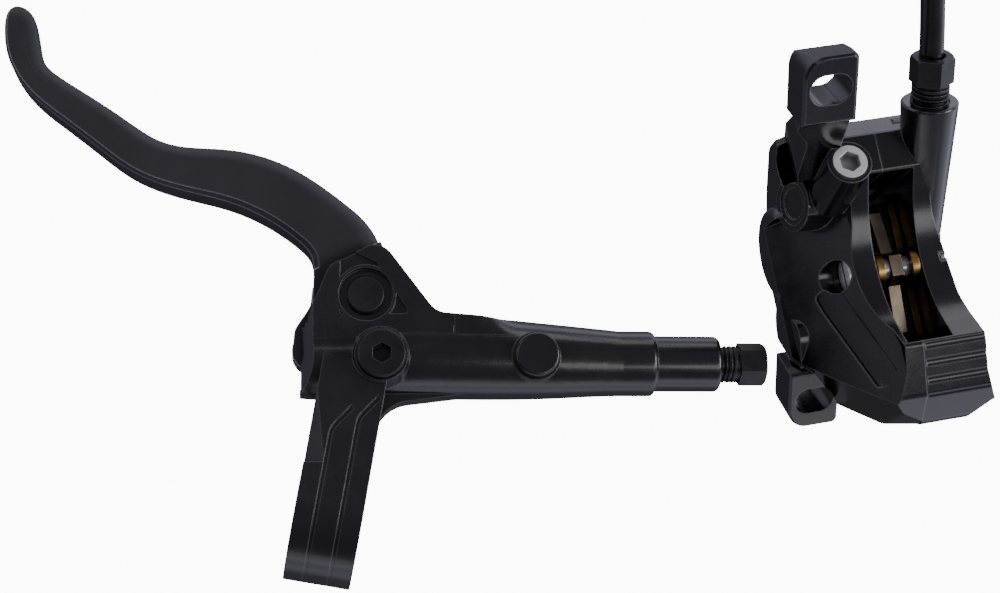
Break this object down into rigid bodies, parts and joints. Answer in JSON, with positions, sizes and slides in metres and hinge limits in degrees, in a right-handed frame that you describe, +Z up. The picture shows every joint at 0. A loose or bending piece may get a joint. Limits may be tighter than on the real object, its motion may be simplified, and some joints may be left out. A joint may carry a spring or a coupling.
{
  "type": "hydraulic disc brake",
  "caption": "Bicycle hydraulic disc brake: lever with master cylinder on a bar clamp, post-mount caliper with pads, and its hose.",
  "frame": {"origin": "centre of the handlebar clamp bore, midway along its width", "axes": "+X along the master cylinder towards its hose port, +Y from the bar towards the lever blade, +Z up from the surface the set lies on"},
  "size_m": [0.2094, 0.2646, 0.0717],
  "materials": {
    "black_casting": "gloss black over cast alloy",
    "black_blade": "satin black, fine texture",
    "black_caliper": "semi-gloss dark charcoal",
    "black_steel": "blacked steel, satin",
    "bright_steel": "plain steel",
    "silver_alloy": "machined alloy",
    "gold_plate": "gold-passivated steel",
    "pad_lining": "rough friction lining",
    "seal_rubber": "smooth rubber",
    "hose_jacket": "gloss black hose jacket",
    "brass_fitting": "plain brass",
    "bush_polymer": "dark bearing polymer",
    "piston_resin": "pale moulded resin"
  },
  "bodies": {
    "housing": {"master_cylinder_body": "black_casting", "clamp_bolt": "black_steel", "pivot_pin": "black_steel", "pivot_clip": "black_steel", "piston_return_spring": "bright_steel", "bore_circlip": "bright_steel", "reservoir_diaphragm": "seal_rubber", "reservoir_lid": "black_casting", "lid_screw_near": "black_steel", "lid_screw_far": "black_steel", "lever_bleed_screw": "black_steel", "lever_bleed_washer": "seal_rubber", "port_plug": "black_casting", "lever_hose_nut": "black_steel", "caliper_inner_half": "black_caliper", "caliper_outer_half": "black_caliper", "body_bolt_upper": "black_steel", "body_bolt_lower": "black_steel", "passage_plug": "black_caliper", "caliper_bleed_screw": "silver_alloy", "pad_axle": "bright_steel", "axle_clip": "bright_steel", "pad_spring": "bright_steel", "caliper_hose_nut": "black_steel", "caliper_olive": "brass_fitting", "hose_run": "hose_jacket", "hose_coil": "hose_jacket", "hose_tail": "hose_jacket", "hose_end_olive": "brass_fitting", "hose_end_insert": "brass_fitting", "inner_seal_upper": "seal_rubber", "inner_seal_lower": "seal_rubber", "outer_seal_upper": "seal_rubber", "outer_seal_lower": "seal_rubber"},
    "blade": {"brake_lever_blade": "black_blade", "pivot_bush_upper": "bush_polymer", "pivot_bush_lower": "bush_polymer", "push_rod_pin": "bright_steel"},
    "rod": {"push_rod": "bright_steel"},
    "piston": {"master_piston": "silver_alloy", "primary_cup": "seal_rubber", "secondary_cup": "seal_rubber"},
    "inner_pad": {"inner_pad_plate": "gold_plate", "inner_pad_lining": "pad_lining", "inner_piston_upper": "piston_resin", "inner_piston_lower": "piston_resin"},
    "outer_pad": {"outer_pad_plate": "gold_plate", "outer_pad_lining": "pad_lining", "outer_piston_upper": "piston_resin", "outer_piston_lower": "piston_resin"}
  },
  "joints": [
    {"name": "blade_hinge", "type": "hinge", "parent": "housing", "child": "blade", "pos_m": [0.0074, 0.0452, 0], "axis": [0, 0, 1], "range_deg": [0, 24], "stiffness_Nm_per_rad": 0.2, "springref_deg": -34.38},
    {"name": "rod_hinge", "type": "hinge", "parent": "blade", "child": "rod", "pos_m": [-0.0034, 0.0342, 0], "axis": [0, 0, 1], "range_deg": [-30, 0]},
    {"name": "piston_slide", "type": "slide", "parent": "housing", "child": "piston", "axis": [1, 0, 0], "range_m": [0, 0.007], "deforming": ["piston_return_spring"]},
    {"name": "outer_pad_slide", "type": "slide", "parent": "housing", "child": "outer_pad", "axis": [-0.9863, -0.165, 0], "range_m": [0, 0.0004]},
    {"name": "inner_pad_slide", "type": "slide", "parent": "housing", "child": "inner_pad", "axis": [0.9863, 0.165, 0], "range_m": [0, 0.0004]}
  ],
  "couplings": [
    {"joint": "rod_hinge", "follows": "blade_hinge", "ratio": -0.53},
    {"joint": "piston_slide", "follows": "blade_hinge", "m_per_rad": 0.01283},
    {"joint": "inner_pad_slide", "follows": "outer_pad_slide", "ratio": 1}
  ]
}
